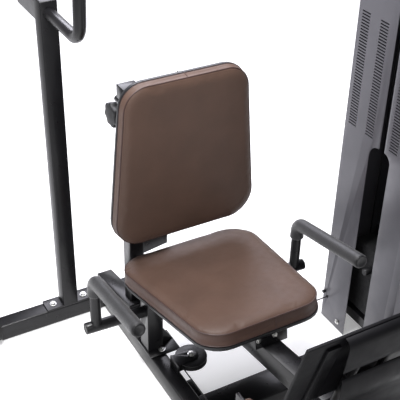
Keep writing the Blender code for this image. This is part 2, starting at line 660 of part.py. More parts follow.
def levers():
    """Two leg levers turn on upright shafts and are geared together; the right one carries the cam."""
    for s, side in ((-1, "right"), (1, "left")):
        pivot = Vector((s * SHAFT_X, SHAFT_Y, 0))
        bore = SHAFT_R + 0.0005
        hub = lathe([(bore, 0.1185), (0.028, 0.1185), (0.028, 0.345), (bore, 0.345)], pivot, (0, 0, 1), 24)
        lever = make(f"{side}_leg_lever", hub, "frame_black", pivot, smooth=True)
        arm = rounded_path([(s * (SHAFT_X + 0.017), SHAFT_Y, ARM_Z), (s * ARM_OUT, SHAFT_Y, ARM_Z),
                            (s * ARM_OUT, -0.300, ARM_Z)], 0.055, 5)
        weld(lever, sweep(arm, 0.020 * math.sqrt(2), 4, square=True), "arm")
        inner = s * (ARM_OUT - 0.020)
        lo_x, hi_x = sorted((inner + s * 0.004, inner - s * 0.006))
        weld(lever, box((lo_x, -0.405, 0.240), (hi_x, -0.295, 0.420)), "pad_plate")
        rest = rounded_path([(s * ARM_OUT, -0.345, ARM_Z - 0.010), (s * ARM_OUT, -0.345, REST_Z),
                             (s * 0.100, -0.345, REST_Z)], 0.040, 5)
        weld(lever, sweep(rest, 0.0125, 12), "foot_rest")
        leg_pad(side, s, inner - s * (0.006 + GAP), pivot)
        turn = math.pi if s > 0 else math.pi / GEAR_TEETH
        facing = math.pi if s > 0 else 0.0
        reach = math.radians(72)
        outline = gear_outline(GEAR_R, GEAR_TEETH, turn, facing - reach, facing + reach)
        make(f"{side}_sync_gear", ring_prism(outline, bore, 0.3455, 0.3575, pivot), "zinc_bolt", pivot)
    pivot = Vector((-SHAFT_X, SHAFT_Y, 0))
    cam = grooved(CAM_R + 0.006, CAM_R - CABLE_R - GAP, 0.022, SHAFT_R + 0.0005, pivot + Vector((0, 0, CABLE_Z)),
                  (0, 0, 1), 40)
    make("lever_cam", cam, "frame_black", pivot, smooth=True)


def leg_pad(side, s, face, pivot):
    """Rounded pad that bears on the outside of the calf."""
    place = Matrix.Translation(Vector((face, -0.350, 0.197))) @ Matrix(
        ((0, 0, -s, 0), (1, 0, 0, 0), (0, 1, 0, 0), (0, 0, 0, 1)))
    size = (0.062, 0.062, 0.196, (0.030, 0.030))
    levels = [(0.002, 0.0), (0.0, 0.005), (0.0, 0.034), (0.007, 0.043), (0.020, 0.048)]
    pad = layered([rounded_trapezoid(*size, inset=i, steps=5) for i, _ in levels], [z for _, z in levels], place)
    make(f"{side}_leg_pad", pad, "leather_brown", pivot, smooth=True)


# ---------------------------------------------------------------- cable and pulleys

def guide_pulley():
    """Pulley lying flat in a C-shaped fork on the base rail, on its own bolt."""
    centre = GUIDE_PULLEY
    make("guide_pulley", grooved(PULLEY_R, GROOVE_R - CABLE_R - GAP, PULLEY_WIDTH, 0.0068, centre, (0, 0, 1)),
         "pulley_black", centre, smooth=True)
    web_x = centre.x - PULLEY_R - 0.005
    web = box((web_x - 0.005, centre.y - 0.032, RAIL_TOP + GAP), (web_x, centre.y + 0.030, centre.z + 0.0160))
    fork = make("pulley_fork", web, "frame_black")
    tongue = [(web_x - 0.003 - centre.x, -0.030)] + arc((0, 0), 0.026, -75, 75, 6) + [(web_x - 0.003 - centre.x, 0.028)]
    for label, low in (("upper_tongue", 0.0120), ("lower_tongue", -0.0160)):
        weld(fork, prism(tongue, low, low + 0.0040, Matrix.Translation(centre)), label)
    cut(fork, rod(centre, (0, 0, 1), 0.0064, 0.050, 12), "cutter_fork")
    top = 0.0160 + GAP
    pin = [(0, -0.020), (0.0060, -0.020), (0.0060, top), (0.0130, top), (0.0130, top + 0.0018),
           (0.0095, top + 0.0018), (0.0095, top + 0.009), (0, top + 0.009)]
    make("pulley_bolt", lathe(pin, centre, (0, 0, 1), 12), "zinc_bolt")
    channel = box((RAIL_X + TUBE / 2 + GAP, 0.0423, 0.0), (RAIL_X + TUBE / 2 + 0.038, centre.y - 0.035, 0.040))
    soften(make("cable_channel", channel, "frame_black"), 0.002)


def tower_pulleys():
    low = Vector((STACK.x - GROOVE_R, CABLE_Y, CABLE_Z + GROOVE_R))
    make("tower_low_pulley", grooved(PULLEY_R, GROOVE_R - CABLE_R - GAP, 0.016, 0.0068, low, (0, 1, 0)),
         "pulley_black", low, smooth=True)
    side = CABLE_Y - 0.031
    bracket = make("low_pulley_bracket", box((low.x - 0.020, side, 0.0700), (low.x + 0.020, side + 0.0055,
                                                                             low.z + 0.020)), "frame_black")
    weld(bracket, box((low.x - 0.020, 0.170, 0.1100 + GAP), (low.x + 0.020, side + 0.003, 0.1160)), "tab")
    weld(bracket, rod((low.x, (side + CABLE_Y + 0.012) / 2, low.z), (0, 1, 0), 0.006, 0.012 + CABLE_Y - side, 12),
         "axle")
    top = Vector((STACK.x, STACK.y + TOP_PULLEY_R, TOP_PULLEY_Z))
    make("tower_top_pulley", grooved(TOP_PULLEY_R + 0.007, TOP_PULLEY_R - CABLE_R - GAP, 0.020, 0.0088, top,
                                     (1, 0, 0), 40), "pulley_black", top, smooth=True)
    hanger = make("top_pulley_stand", rod(top, (1, 0, 0), 0.008, 0.066, 12), "frame_black")
    for label, x in (("left_cheek", -0.026), ("right_cheek", 0.026)):
        weld(hanger, box((top.x + x - 0.003, top.y - 0.020, TOWER_BEAM[1] + GAP),
                         (top.x + x + 0.003, top.y + 0.020, top.z + 0.020)), label)


def cable():
    """One cable: cam, guide pulley, both tower pulleys, then down into the bore of the stack's stem."""
    cam = Vector((-SHAFT_X, SHAFT_Y, CABLE_Z))
    low = Vector((STACK.x - GROOVE_R, CABLE_Y, CABLE_Z + GROOVE_R))
    top = Vector((STACK.x, STACK.y + TOP_PULLEY_R, TOP_PULLEY_Z))
    across, forward, upward = Vector((1, 0, 0)), Vector((0, 1, 0)), Vector((0, 0, 1))
    path = []
    for centre, radius, u, v, start, end, steps in ((cam, CAM_R, across, forward, 225, 180, 6),
                                                    (GUIDE_PULLEY, GROOVE_R, across, forward, 180, 90, 10),
                                                    (low, GROOVE_R, across, upward, -90, 0, 10),
                                                    (top, TOP_PULLEY_R, forward, upward, 0, 180, 18)):
        for i in range(steps + 1):
            turn = math.radians(start + (end - start) * i / steps)
            path.append(centre + radius * (u * math.cos(turn) + v * math.sin(turn)))
    path.append(Vector((STACK.x, STACK.y, stem_top() - 0.070)))
    make("pull_cable", sweep(path, CABLE_R, 8), "cable_black", smooth=True)


# ---------------------------------------------------------------- weight tower

def stack_level(index):
    return STACK_BASE + index * PLATE_PITCH


def stem_top():
    return stack_level(LOWER_PLATES + LIFTED_PLATES) + 0.030 + 0.050


def plate_group(name, first, count, pivot):
    """Weight plates with a thin gap between neighbours, held together at the core."""
    wide, core = STACK_HALF, (0.040, 0.030)
    outlines, heights = [], []
    for i in range(first, first + count):
        z = stack_level(i)
        last = i == first + count - 1
        for half, at in ((wide, z), (wide, z + PLATE_THICK)) + (() if last else ((core, z + PLATE_THICK),
                                                                                 (core, z + PLATE_PITCH))):
            outlines.append([(sx * half[0], sy * half[1]) for sx, sy in ((-1, -1), (1, -1), (1, 1), (-1, 1))])
            heights.append(at)
    obj = make(name, layered(outlines, heights, Matrix.Translation((STACK.x, STACK.y, 0))), "plate_iron", pivot)
    mid = stack_level(first) + count * PLATE_PITCH / 2
    holes = [rod((STACK.x, STACK.y + dy, mid), (0, 0, 1), r, count * PLATE_PITCH + 0.02, 12)
             for dy, r in ((-ROD_OFFSET, ROD_R + 0.0015), (ROD_OFFSET, ROD_R + 0.0015), (0, 0.0135))]
    return cut(obj, join(*holes), f"cutter_{name}")


def weight_stack():
    pivot = Vector((STACK.x, STACK.y, stack_level(LOWER_PLATES)))
    plate_group("lower_weight_plates", 0, LOWER_PLATES, (0, 0, 0))
    lifted = plate_group("lifted_weight_plates", LOWER_PLATES, LIFTED_PLATES, pivot)
    pin_z = stack_level(LOWER_PLATES) + PLATE_THICK / 2
    pin_face = STACK.x - STACK_HALF[0]
    cut(lifted, rod((pin_face + 0.075, STACK.y, pin_z), (1, 0, 0), 0.0054, 0.180, 12), "cutter_pin")
    head_z = stack_level(LOWER_PLATES + LIFTED_PLATES)
    head = make("stack_head", box((STACK.x - 0.045, STACK.y - 0.100, head_z), (STACK.x + 0.045, STACK.y + 0.100,
                                                                              head_z + 0.030)), "frame_black", pivot)
    holes = [rod((STACK.x, STACK.y + dy, head_z + 0.015), (0, 0, 1), ROD_R + 0.0015, 0.05, 12)
             for dy in (-ROD_OFFSET, ROD_OFFSET)]
    low, high = stack_level(2), stem_top()
    stem = lathe([(0, low), (0.012, low), (0.012, high - 0.004), (0.009, high), (0, high)],
                 (STACK.x, STACK.y, 0), (0, 0, 1), 16)
    weld(head, stem, "stem")
    cut(head, join(*holes), "cutter_stack_head")
    cut(head, rod((STACK.x, STACK.y, high - BORE_DEPTH / 2 + 0.005), (0, 0, 1), BORE_R, BORE_DEPTH + 0.010, 12),
        "cutter_stem_bore")
    cut(head, rod((STACK.x, STACK.y, pin_z), (1, 0, 0), 0.0054, 0.040, 12), "cutter_stem_pin")
    tip = STACK.x + 0.018
    length = tip - pin_face + 0.004
    pin = lathe([(0, 0), (0.0045, 0), (0.0045, length), (0.0125, length), (0.0140, length + 0.004),
                 (0.0140, length + 0.026), (0.0115, length + 0.030), (0, length + 0.030)],
                (tip, STACK.y, pin_z), (-1, 0, 0), 16)
    make("selector_pin", pin, "chrome_rod", (tip, STACK.y, pin_z), smooth=True)
    for side, dy in (("front", -ROD_OFFSET), ("rear", ROD_OFFSET)):
        low, high = 0.100, TOWER_BEAM[0] - GAP
        make(f"guide_rod_{side}", rod((STACK.x, STACK.y + dy, (low + high) / 2), (0, 0, 1), ROD_R, high - low, 16),
             "chrome_rod", smooth=True)
    cushion = make("stack_cushion", box((STACK.x - 0.030, STACK.y - 0.100, 0.110 + GAP),
                                        (STACK.x + 0.030, STACK.y + 0.100, STACK_BASE - GAP)), "rubber_black")
    holes = [rod((STACK.x, STACK.y + dy, 0.120), (0, 0, 1), ROD_R + 0.0006, 0.04, 16)
             for dy in (-ROD_OFFSET, ROD_OFFSET)]
    cut(cushion, join(*holes), "cutter_cushion")


def window_edge(inner, outer_y, edge_y, sign):
    """Outline of a side panel whose window edge starts at the floor and rounds over at the top."""
    radius = abs(inner - edge_y)
    centre = (inner, WINDOW_TOP - radius)
    sweep_to = arc(centre, radius, 0 if sign > 0 else 180, 90, 8)
    return [(outer_y, 0.0), (edge_y, 0.0)] + sweep_to + [(inner, TOWER_TOP - 0.006), (outer_y, TOWER_TOP - 0.006)]


def tower_shell():
    """Two bent sheets meet at the slit and window; a cover closes the far side and a lid the top."""
    deep = TOWER_X + SHEET
    top = TOWER_TOP - 0.006
    rear = side_profile(window_edge(SLIT[1], TOWER_REAR_Y, WINDOW[1], 1), TOWER_X, deep)
    rear = make("tower_rear_shell", rear, "panel_black")
    weld(rear, box((TOWER_X, TOWER_REAR_Y - SHEET, 0.0), (TOWER_BACK, TOWER_REAR_Y, top)), "return")
    cut(rear, rod((TOWER_X, CABLE_Y, CABLE_Z), (1, 0, 0), 0.0065, 0.02, 12), "cutter_cable_exit")
    front = side_profile(window_edge(SLIT[0], TOWER_FRONT_Y, WINDOW[0], -1), TOWER_X, deep)
    front = make("tower_front_shell", front, "panel_black")
    weld(front, box((TOWER_X, TOWER_FRONT_Y, 0.0), (TOWER_BACK, TOWER_FRONT_Y + SHEET, top)), "return")
    cut(front, box((TOWER_X - 0.02, -0.078 - 0.001, -0.01), (deep + 0.02, 0.043, FLOOR_TUBE_TOP + 0.001)),
        "cutter_rail_notch")
    outer = box((TOWER_BACK - SHEET, TOWER_FRONT_Y + SHEET + GAP, 0.0),
                (TOWER_BACK, TOWER_REAR_Y - SHEET - GAP, top))
    make("tower_outer_cover", outer, "panel_black")
    lid = box((TOWER_X - 0.004, TOWER_FRONT_Y - 0.004, top + GAP),
              (TOWER_BACK + 0.004, TOWER_REAR_Y + 0.004, TOWER_TOP + 0.012))
    soften(make("tower_lid", lid, "panel_black"), 0.004)


def tower_frame():
    """Base, post and beam that hold the guide rods and the upper pulley."""
    frame = make("tower_frame", box((0.565, -0.060, FLOOR_TUBE_TOP + GAP), (0.90, 0.180, 0.110)), "frame_black")
    for label, y in (("front_foot", -0.060), ("rear_foot", 0.140)):
        weld(frame, box((0.664, y + 0.001, 0.0), (0.899, y + 0.039, 0.080)), label)
    weld(frame, box((0.862, 0.030, 0.105), (0.898, 0.090, TOWER_BEAM[0] + 0.010)), "post")
    weld(frame, box((0.670, -0.045, TOWER_BEAM[0]), (0.902, 0.215, TOWER_BEAM[1])), "beam")
    holes = [rod((STACK.x, STACK.y + dy, 0.105), (0, 0, 1), ROD_R + 0.0005, 0.014, 16)
             for dy in (-ROD_OFFSET, ROD_OFFSET)]
    holes.append(rod((STACK.x, STACK.y, sum(TOWER_BEAM) / 2), (0, 0, 1), 0.006, 0.08, 12))
    cut(frame, join(*holes), "cutter_tower_frame")


def build():
    clear_scene()
    floor_frame()
    left_station()
    seat_support()
    rear_support()
    seat()
    backrest()
    clamp_knob()
    handles()
    pedestal()
    covers()
    levers()
    guide_pulley()
    tower_pulleys()
    cable()
    weight_stack()
    tower_shell()
    tower_frame()


build()
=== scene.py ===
"""Looks of the seated hip machine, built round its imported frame."""
import math

import bmesh
import bpy
from mathutils import Matrix, Vector
from mathutils.bvhtree import BVHTree


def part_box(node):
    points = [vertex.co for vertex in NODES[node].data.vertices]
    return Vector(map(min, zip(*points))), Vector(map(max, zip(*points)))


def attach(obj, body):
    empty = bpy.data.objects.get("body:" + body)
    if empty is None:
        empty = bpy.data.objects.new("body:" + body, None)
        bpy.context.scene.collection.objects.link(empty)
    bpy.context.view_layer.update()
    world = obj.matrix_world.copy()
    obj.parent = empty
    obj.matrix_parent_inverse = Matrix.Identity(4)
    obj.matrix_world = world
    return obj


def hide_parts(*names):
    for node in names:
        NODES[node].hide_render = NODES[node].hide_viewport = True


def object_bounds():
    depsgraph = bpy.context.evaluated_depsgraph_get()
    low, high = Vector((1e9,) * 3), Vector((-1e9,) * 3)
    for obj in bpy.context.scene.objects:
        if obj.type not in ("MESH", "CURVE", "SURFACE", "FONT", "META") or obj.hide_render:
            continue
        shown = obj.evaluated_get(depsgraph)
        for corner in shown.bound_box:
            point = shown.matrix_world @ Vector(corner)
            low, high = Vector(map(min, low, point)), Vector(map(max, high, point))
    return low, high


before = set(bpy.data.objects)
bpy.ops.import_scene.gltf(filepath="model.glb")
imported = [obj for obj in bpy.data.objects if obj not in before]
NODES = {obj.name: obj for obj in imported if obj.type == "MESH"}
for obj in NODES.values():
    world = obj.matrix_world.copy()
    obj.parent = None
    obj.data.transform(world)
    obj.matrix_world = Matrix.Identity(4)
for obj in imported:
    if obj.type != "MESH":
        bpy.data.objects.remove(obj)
CAD_LO, CAD_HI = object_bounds()
SCENE = bpy.context.scene

# ---- places and sizes shared with the frame, in metres
# A pad's size is its low and high half widths, its length, and its low and high corner radii.

PAD_X = -0.010                # both pads sit slightly off the beam's centre line
SEAT_FRAME = Matrix.Translation((0.0, -0.11, 0.431)) @ Matrix.Rotation(-math.radians(9.02), 4, "X")
SEAT_PLACE = SEAT_FRAME @ Matrix.Translation((PAD_X, -0.045, 0.0))
SEAT_SIZE = (0.2231, 0.2777, 0.612, (0.099, 0.107))
SEAT_LOW = 0.0172             # the cushion's underside, where it rests in the shell
BACK_PLACE = Matrix.Translation((PAD_X, 0.402, 0.490)) @ Matrix.Rotation(math.pi / 2, 4, "X")
BACK_SIZE = (0.2845, 0.2300, 0.610, (0.102, 0.088))
BACK_THICK = 0.040
LEG_CORNER = 0.030

RAIL_X = -0.1895              # centre line of the base rail and of the seat post
HANDLE_X, HANDLE_Y, HANDLE_Z = 0.400, 0.330, 0.255
CROSS_HALF, CROSS_CAP_R = 0.438, 0.0208
HANDLE_TURN = (Matrix.Translation((RAIL_X, HANDLE_Y, 0)) @ Matrix.Rotation(math.radians(-3.0), 4, "Z")
               @ Matrix.Translation((-RAIL_X, -HANDLE_Y, 0)))
GRIP_FOOT_Z, BEND_Z, BEND_R = 0.395, 0.458, 0.045
GRIP_RISE, GRIP_REACH, GRIP_R = math.radians(13.5), 0.383, 0.025

TOWER_X = 0.5275              # the casing's face towards the seat
VENT_LOW, VENT_HIGH, VENT_COUNT = 0.877, 1.292, 40
VENT_OPEN = 0.52              # share of a slot's pitch that is open
VENT_BANDS = {"tower_rear_shell": ((0.200, 0.240), (0.108, 0.148)),
              "tower_front_shell": ((-0.018, 0.022), (-0.110, -0.070))}

# ---- cushion settings

VOXEL = 0.005
CLOTH_FRAMES = 20
CLOTH_PRESSURE = 4.0
CLOTH_STIFFNESS = 25
PAD_SWELL, LEG_PAD_SWELL = 0.0045, 0.004    # how far a point may move in the simulation
HELD = 0.003                  # height above the underside that stays still


# ---- materials

GRAINS = {
    "noise": ("ShaderNodeTexNoise", "Fac", {"Detail": 2.0}),
    "brushed": ("ShaderNodeTexWave", "Fac", {"Distortion": 3.0, "Detail": 2.0}),
    "cells": ("ShaderNodeTexVoronoi", "Distance", {}),
}


def link(tree, source, socket, target, name):
    tree.links.new(source.outputs[socket], target.inputs[name])


def textured(tree, kind, coords, scale, **values):
    made = tree.nodes.new(kind)
    made.inputs["Scale"].default_value = scale
    for key, value in values.items():
        made.inputs[key].default_value = value
    link(tree, coords, "Object", made, "Vector")
    return made


def ranged(tree, source, socket, low, high, start=0.3, end=0.7):
    """A noise value, mostly between start and end, mapped to low and high."""
    made = tree.nodes.new("ShaderNodeMapRange")
    for key, value in (("From Min", start), ("From Max", end), ("To Min", low), ("To Max", high)):
        made.inputs[key].default_value = value
    link(tree, source, socket, made, "Value")
    return made


def mixed(tree, first, second, factor):
    """Colour output that goes from one colour to another with a mapped factor."""
    made = tree.nodes.new("ShaderNodeMix")
    made.data_type = "RGBA"
    for name, colour in (("A", first), ("B", second)):
        target = next(i for i in made.inputs if i.name == name and i.type == "RGBA")
        target.default_value = (*colour, 1.0)
    tree.links.new(factor.outputs["Result"], made.inputs["Factor"])
    return next(o for o in made.outputs if o.type == "RGBA")


def shade(colour, by):
    return tuple(min(1.0, c * by) for c in colour)


def surface(name, colour, roughness, metallic=0.0, specular=0.5, coat=0.0, coat_rough=0.15,
            sheen=0.0, vary=0.15, vary_scale=6.0, spread=0.06, grains=()):
    """A finish with blotches of colour and roughness, and layers of fine relief.

    vary is the share by which the colour varies, spread the same for roughness, and each grain
    is a kind, a scale, a strength and a depth in metres.
    """
    made = bpy.data.materials.new(name)
    made.use_nodes = True
    tree = made.node_tree
    shader = tree.nodes["Principled BSDF"]
    for key, value in (("Metallic", metallic), ("Specular IOR Level", specular), ("Coat Weight", coat),
                       ("Coat Roughness", coat_rough), ("Sheen Weight", sheen)):
        shader.inputs[key].default_value = value
    coords = tree.nodes.new("ShaderNodeTexCoord")
    blotch = textured(tree, "ShaderNodeTexNoise", coords, vary_scale, Detail=4.0)
    factor = ranged(tree, blotch, "Fac", 0.0, 1.0)
    base = mixed(tree, shade(colour, 1 - vary), shade(colour, 1 + vary), factor)
    tree.links.new(base, shader.inputs["Base Color"])
    patch = textured(tree, "ShaderNodeTexNoise", coords, vary_scale * 5, Detail=3.0)
    rough = ranged(tree, patch, "Fac", roughness - spread, roughness + spread)
    link(tree, rough, "Result", shader, "Roughness")
    previous = None
    for kind, scale, strength, depth in grains:
        node, socket, values = GRAINS[kind]
        grain = textured(tree, node, coords, scale, **values)
        if kind == "cells":
            grain.feature = "DISTANCE_TO_EDGE"
        bump = tree.nodes.new("ShaderNodeBump")
        bump.inputs["Strength"].default_value = strength
        bump.inputs["Distance"].default_value = depth
        link(tree, grain, socket, bump, "Height")
        if previous:
            link(tree, previous, "Normal", bump, "Normal")
        previous = bump
    if previous:
        link(tree, previous, "Normal", shader, "Normal")
    return made


FINISH = {
    "frame_paint": surface(
        "frame_paint_black", (0.0055, 0.0053, 0.0062), 0.30, specular=0.30, coat=0.06, coat_rough=0.10,
        spread=0.03, grains=(("noise", 1100, 0.10, 0.0002),)),
    "casing_paint": surface(
        "casing_paint_grey", (0.088, 0.086, 0.098), 0.38, metallic=0.40, coat=0.10, coat_rough=0.22,
        vary=0.06, vary_scale=3, grains=(("noise", 1100, 0.12, 0.0003),)),
    "cover_paint": surface(
        "cover_paint_black", (0.0042, 0.0041, 0.0050), 0.50, specular=0.10, coat_rough=0.20,
        vary_scale=5, grains=(("noise", 1100, 0.12, 0.0003),)),
    "upholstery": surface(
        "leather_brown", (0.078, 0.0450, 0.0325), 0.47, specular=0.28, sheen=0.05, vary=0.10, vary_scale=9,
        grains=(("noise", 14, 0.16, 0.004), ("cells", 620, 0.42, 0.0004), ("noise", 1500, 0.15, 0.0002))),
    # a darker copy of the brown leather, painted shade for the seat's upright sides that stand out of the
    # overhead light
    "boxing": surface(
        "leather_painted_side_shade", (0.064, 0.0345, 0.0260), 0.50, specular=0.25, sheen=0.05, vary=0.10, vary_scale=11,
        grains=(("noise", 20, 0.2, 0.003), ("cells", 620, 0.42, 0.0004))),
    "piping": surface(
        "leather_piping", (0.045, 0.022, 0.018), 0.50, specular=0.4, vary_scale=30,
        grains=(("cells", 800, 0.35, 0.0003),)),
    "thread": surface(
        "stitch_thread", (0.070, 0.036, 0.028), 0.70, specular=0.3, vary=0.2, vary_scale=60,
        grains=(("noise", 1800, 0.4, 0.0003),)),
    "black_plastic": surface(
        "moulded_plastic", (0.008, 0.008, 0.009), 0.42, specular=0.4, vary=0.18,
        grains=(("noise", 700, 0.22, 0.0004),)),
    "chrome_steel": surface(
        "chrome_steel", (0.62, 0.62, 0.63), 0.13, metallic=1.0, vary=0.04, spread=0.04,
        grains=(("brushed", 120, 0.03, 0.0002),)),
    "zinc_steel": surface(
        "zinc_steel", (0.66, 0.66, 0.64), 0.30, metallic=1.0, vary=0.10, vary_scale=90, spread=0.08,
        grains=(("noise", 600, 0.15, 0.0002),)),
    "grip_foam": surface(
        "grip_foam", (0.014, 0.014, 0.015), 0.50, specular=0.45, sheen=0.15, vary=0.2, vary_scale=20,
        grains=(("cells", 900, 0.5, 0.0004), ("noise", 80, 0.15, 0.001))),
    "weight_iron": surface(
        "weight_iron", (0.010, 0.010, 0.011), 0.60, metallic=0.1, vary=0.25, vary_scale=15,
        grains=(("noise", 260, 0.35, 0.0008),)),
    "cable_jacket": surface(
        "cable_jacket", (0.012, 0.012, 0.013), 0.35, vary=0.2, vary_scale=40,
        grains=(("noise", 400, 0.2, 0.0003),)),
    "rubber": surface(
        "rubber", (0.013, 0.013, 0.013), 0.78, specular=0.4, vary=0.25, vary_scale=25,
        grains=(("noise", 500, 0.3, 0.0005),)),
}


# ---- meshes

def new_piece(name, bm, finish, body=None, smooth=True, sharp=40):
    """An object from a bmesh, smooth except across edges steeper than sharp degrees."""
    bmesh.ops.recalc_face_normals(bm, faces=bm.faces)
    mesh = bpy.data.meshes.new(name)
    bm.to_mesh(mesh)
    bm.free()
    obj = bpy.data.objects.new(name, mesh)
    SCENE.collection.objects.link(obj)
    mesh.materials.append(FINISH[finish])
    for face in mesh.polygons:
        face.use_smooth = smooth
    if smooth and sharp:
        mesh.set_sharp_from_angle(angle=math.radians(sharp))
    if body:
        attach(obj, body)
    return obj


def basis(axis):
    """Matrix whose z column runs along axis."""
    return Vector(axis).normalized().to_track_quat("Z", "Y").to_matrix().to_4x4()


def turns(count):
    """Angles of points spaced evenly round a circle."""
    return [2 * math.pi * i / count for i in range(count)]


def loft(rings, bm=None):
    """Skin through rings of equal point counts, with flat ends."""
    bm = bm or bmesh.new()
    rows = [[bm.verts.new(p) for p in ring] for ring in rings]
    count = len(rows[0])
    for low, high in zip(rows, rows[1:]):
        for i in range(count):
            j = (i + 1) % count
            bm.faces.new((low[i], low[j], high[j], high[i]))
    bm.faces.new(list(reversed(rows[0])))
    bm.faces.new(rows[-1])
    return bm


def lathe(profile, centre, axis, sides=32):
    """Turned shape: profile of (radius, height) pairs about an axis; radii stay above zero."""
    place = Matrix.Translation(centre) @ basis(axis)
    return loft([[place @ Vector((radius * math.cos(t), radius * math.sin(t), height)) for t in turns(sides)]
                 for radius, height in profile])


def tube(path, radius, sides=10, closed=False):
    """Round bar along a path, with radius a number or one number per point."""
    points = [Vector(p) for p in path]
    count = len(points)
    normal = None
    rings = []
    for i, point in enumerate(points):
        before = points[i - 1] if closed or i else point
        after = points[(i + 1) % count] if closed or i < count - 1 else point
        along = (after - before).normalized()
        if normal is None:
            normal = along.orthogonal().normalized()
        normal = (normal - along * normal.dot(along)).normalized()
        side = along.cross(normal)
        r = radius[i] if isinstance(radius, (list, tuple)) else radius
        rings.append([point + normal * math.cos(t) * r + side * math.sin(t) * r for t in turns(sides)])
    if not closed:
        return loft(rings)
    bm = bmesh.new()
    rows = [[bm.verts.new(p) for p in ring] for ring in rings]
    for a in range(count):
        low, high = rows[a], rows[(a + 1) % count]
        shift = 0
        if a == count - 1:    # the last ring meets the first one turned, so pair the nearest points
            shift = min(range(sides), key=lambda s: (low[0].co - high[s].co).length)
        for i in range(sides):
            j = (i + 1) % sides
            bm.faces.new((low[i], low[j], high[(j + shift) % sides], high[(i + shift) % sides]))
    return bm


def joined(parts):
    """One bmesh from several."""
    whole = bmesh.new()
    for part in parts:
        mesh = bpy.data.meshes.new("part")
        part.to_mesh(mesh)
        part.free()
        whole.from_mesh(mesh)
        bpy.data.meshes.remove(mesh)
    return whole


def outline(low_half, high_half, length, radii, inset=0.0, steps=10, fill=7):
    """Symmetric outline from 0 to length, with round corners and extra points along its sides."""
    centre = Vector((0, length / 2))
    corners = [Vector((-low_half, 0.0)), Vector((-high_half, length)), Vector((high_half, length)),
               Vector((low_half, 0.0))]
    moved = []
    for i, corner in enumerate(corners):
        into = (corner - corners[i - 1]).normalized()
        out = (corners[(i + 1) % 4] - corner).normalized()
        n1, n2 = Vector((-into.y, into.x)), Vector((-out.y, out.x))
        n1 *= math.copysign(1, n1.dot(centre - corner))
        n2 *= math.copysign(1, n2.dot(centre - corner))
        moved.append(corner + (n1 + n2) * inset / (1 + n1.dot(n2)))

    def rounding(i):
        """Corner i: its place, the ways to its neighbours, its radius and how far the round reaches."""
        corner = moved[i % 4]
        to_last = (moved[(i - 1) % 4] - corner).normalized()
        to_next = (moved[(i + 1) % 4] - corner).normalized()
        radius = max(radii[0 if i % 4 in (0, 3) else 1] - inset, 0.01)
        half = to_last.angle(to_next) / 2
        return corner, to_last, to_next, radius, half, radius / math.tan(half)

    points = []
    for i in range(4):
        corner, to_last, to_next, radius, half, reach = rounding(i)
        middle = corner + (to_last + to_next).normalized() * radius / math.sin(half)
        start, end = corner + to_last * reach - middle, corner + to_next * reach - middle
        turn = start.angle_signed(end)
        for k in range(steps + 1):
            t = -turn * k / steps
            points.append(middle + Vector((start.x * math.cos(t) - start.y * math.sin(t),
                                           start.x * math.sin(t) + start.y * math.cos(t))))
        following, back, _, radius, half, _ = rounding(i + 1)
        stop = following + back * radius / math.tan(half)
        first = points[-1]
        for k in range(1, fill + 1):
            points.append(first.lerp(stop, k / (fill + 1)))
    return points


# ---- cushions

def applied(obj):
    """Put the object's modifiers into its mesh."""
    evaluated = obj.evaluated_get(bpy.context.evaluated_depsgraph_get())
    mesh = bpy.data.meshes.new_from_object(evaluated)
    obj.modifiers.clear()
    obj.data = mesh


def puffed(obj, place, low, most, hold):
    """Inflate a closed shape by cloth simulation; its lower edge, resting in the shell, stays put.

    A point moves by most at the most, and freely only from hold above the underside.
    """
    inverse = place.inverted()
    rest = [v.co.copy() for v in obj.data.vertices]
    cloth = obj.modifiers.new("Cloth", "CLOTH")
    cloth.settings.use_pressure = True
    cloth.settings.uniform_pressure_force = CLOTH_PRESSURE
    cloth.settings.effector_weights.gravity = 0.0
    cloth.settings.quality = 5
    cloth.settings.tension_stiffness = cloth.settings.compression_stiffness = CLOTH_STIFFNESS
    cloth.collision_settings.use_collision = False
    cloth.point_cache.frame_start, cloth.point_cache.frame_end = 1, CLOTH_FRAMES
    for f in range(1, CLOTH_FRAMES + 1):
        SCENE.frame_set(f)
    evaluated = obj.evaluated_get(bpy.context.evaluated_depsgraph_get())
    swollen = [v.co.copy() for v in evaluated.data.vertices]
    obj.modifiers.clear()
    SCENE.frame_set(1)
    for vertex, before, after in zip(obj.data.vertices, rest, swollen):
        move = after - before
        if move.length > most:
            move *= most / move.length
        height = (inverse @ before).z - low
        share = min(1.0, max(0.0, (height - HELD) / hold))
        vertex.co = before + move * share * share * (3 - 2 * share)


def cushion(name, node, body, place, size, levels, most, low, hold=0.018):
    """Padded form lofted from (inset, height) levels, remeshed, inflated and subdivided."""
    rings = [[place @ Vector((p.x, p.y, z)) for p in outline(*size, inset=i)] for i, z in levels]
    obj = new_piece(name, loft(rings), "upholstery", sharp=0)
    remesh = obj.modifiers.new("Remesh", "REMESH")
    remesh.mode, remesh.voxel_size = "VOXEL", VOXEL
    applied(obj)
    smooth = obj.modifiers.new("Smooth", "SMOOTH")
    smooth.factor, smooth.iterations = 0.5, 2
    applied(obj)
    puffed(obj, place, low, most, hold)
    divided = obj.modifiers.new("Subdivision", "SUBSURF")
    divided.levels = divided.render_levels = 1
    applied(obj)
    obj.data.materials.clear()
    obj.data.materials.append(FINISH["upholstery"])
    for face in obj.data.polygons:
        face.use_smooth = True
    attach(obj, body)
    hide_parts(node)
    return obj


def tree_of(obj):
    mesh = obj.data
    return BVHTree.FromPolygons([v.co for v in mesh.vertices], [p.vertices for p in mesh.polygons])


def snapped(tree, points, lift=0.0):
    """The points moved onto the surface, lifted along its normal."""
    found = [tree.find_nearest(p) for p in points]
    return [place + normal * lift for place, normal, _, _ in found]


def piping(name, pad, place, size, inset, height, radius, body, lift):
    """A welt sewn round the pad, following its surface."""
    ring = [place @ Vector((p.x, p.y, height)) for p in outline(*size, inset=inset, fill=24)]
    line = snapped(tree_of(pad), ring, lift)
    return new_piece(name, tube(line, radius, 8, closed=True), "piping", body)


